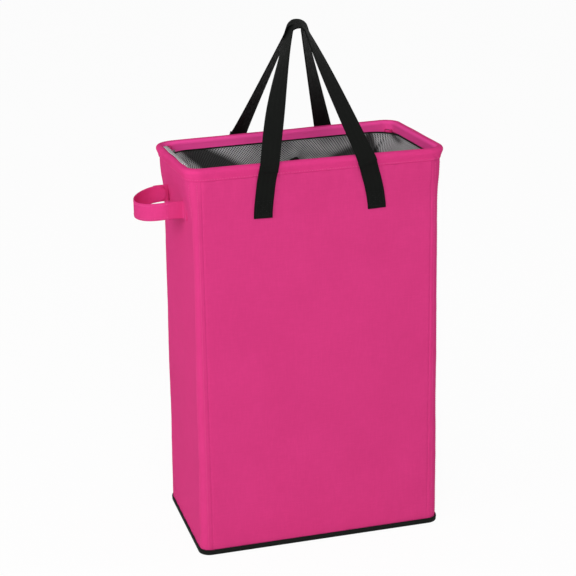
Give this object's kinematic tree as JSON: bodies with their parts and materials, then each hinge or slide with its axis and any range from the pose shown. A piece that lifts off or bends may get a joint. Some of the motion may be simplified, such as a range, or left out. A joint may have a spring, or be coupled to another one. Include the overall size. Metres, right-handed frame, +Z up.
{
  "type": "pop up laundry hamper",
  "caption": "Slim tall cloth laundry hamper with a round rim, mesh collar, corner rods, black base, two webbing carry handles that meet above the mouth and a cloth side handle.",
  "frame": {"origin": "the middle of the flat underside of the base", "axes": "+Z up to the handles, -Y to the front panel, -X to the side handle"},
  "size_m": [0.416, 0.22, 0.73],
  "materials": {
    "wall_cloth": "satin",
    "rim_cloth": "satin",
    "webbing": "matte",
    "base_cloth": "matte",
    "mesh_cloth": "matte",
    "board": "matte",
    "rod": "satin",
    "rod_cap": "matte"
  },
  "bodies": {
    "base": {"base_cover": "base_cloth", "base_board": "board", "base_lining": "mesh_cloth", "front_panel": "wall_cloth", "back_panel": "wall_cloth", "left_end_panel": "wall_cloth", "right_end_panel": "wall_cloth", "sleeve_front_left": "mesh_cloth", "sleeve_front_right": "mesh_cloth", "sleeve_back_left": "mesh_cloth", "sleeve_back_right": "mesh_cloth"},
    "front_left_rod": {"rod_front_left": "rod", "rod_foot_front_left": "rod_cap", "rod_tip_front_left": "rod_cap"},
    "front_right_rod": {"rod_front_right": "rod", "rod_foot_front_right": "rod_cap", "rod_tip_front_right": "rod_cap"},
    "back_left_rod": {"rod_back_left": "rod", "rod_foot_back_left": "rod_cap", "rod_tip_back_left": "rod_cap"},
    "back_right_rod": {"rod_back_right": "rod", "rod_foot_back_right": "rod_cap", "rod_tip_back_right": "rod_cap"},
    "rim": {"rim_hoop": "rod", "rim_hem": "rim_cloth", "mesh_collar": "mesh_cloth", "collar_hem": "base_cloth", "rod_loop_front_left": "webbing", "rod_loop_front_right": "webbing", "rod_loop_back_left": "webbing", "rod_loop_back_right": "webbing", "front_handle_end_left": "webbing", "front_handle_end_right": "webbing", "back_handle_end_left": "webbing", "back_handle_end_right": "webbing", "side_handle_tab_front": "wall_cloth", "side_handle_tab_back": "wall_cloth"},
    "front_carry_handle": {"front_handle": "webbing"},
    "back_carry_handle": {"back_handle": "webbing"},
    "side_carry_handle": {"side_handle": "wall_cloth"}
  },
  "joints": [
    {"name": "rim_fold", "type": "slide", "parent": "base", "child": "rim", "axis": [0, 0, -1], "range_m": [0, 0.455], "deforming": ["front_panel", "back_panel", "left_end_panel", "right_end_panel", "sleeve_front_left", "sleeve_front_right", "sleeve_back_left", "sleeve_back_right"]},
    {"name": "front_left_rod_slide", "type": "slide", "parent": "base", "child": "front_left_rod", "axis": [0, 0, 1], "range_m": [0, 0.545]},
    {"name": "front_right_rod_slide", "type": "slide", "parent": "base", "child": "front_right_rod", "axis": [0, 0, 1], "range_m": [0, 0.545]},
    {"name": "back_left_rod_slide", "type": "slide", "parent": "base", "child": "back_left_rod", "axis": [0, 0, 1], "range_m": [0, 0.545]},
    {"name": "back_right_rod_slide", "type": "slide", "parent": "base", "child": "back_right_rod", "axis": [0, 0, 1], "range_m": [0, 0.545]},
    {"name": "front_handle_swing", "type": "hinge", "parent": "rim", "child": "front_carry_handle", "pos_m": [0, -0.10925, 0.55], "axis": [1, 0, 0], "range_deg": [0, 175]},
    {"name": "back_handle_swing", "type": "hinge", "parent": "rim", "child": "back_carry_handle", "pos_m": [0, 0.10925, 0.55], "axis": [-1, 0, 0], "range_deg": [0, 175]},
    {"name": "side_handle_swing", "type": "hinge", "parent": "rim", "child": "side_carry_handle", "pos_m": [-0.19076, 0, 0.488], "axis": [0, 1, 0], "range_deg": [-20, 30]}
  ]
}
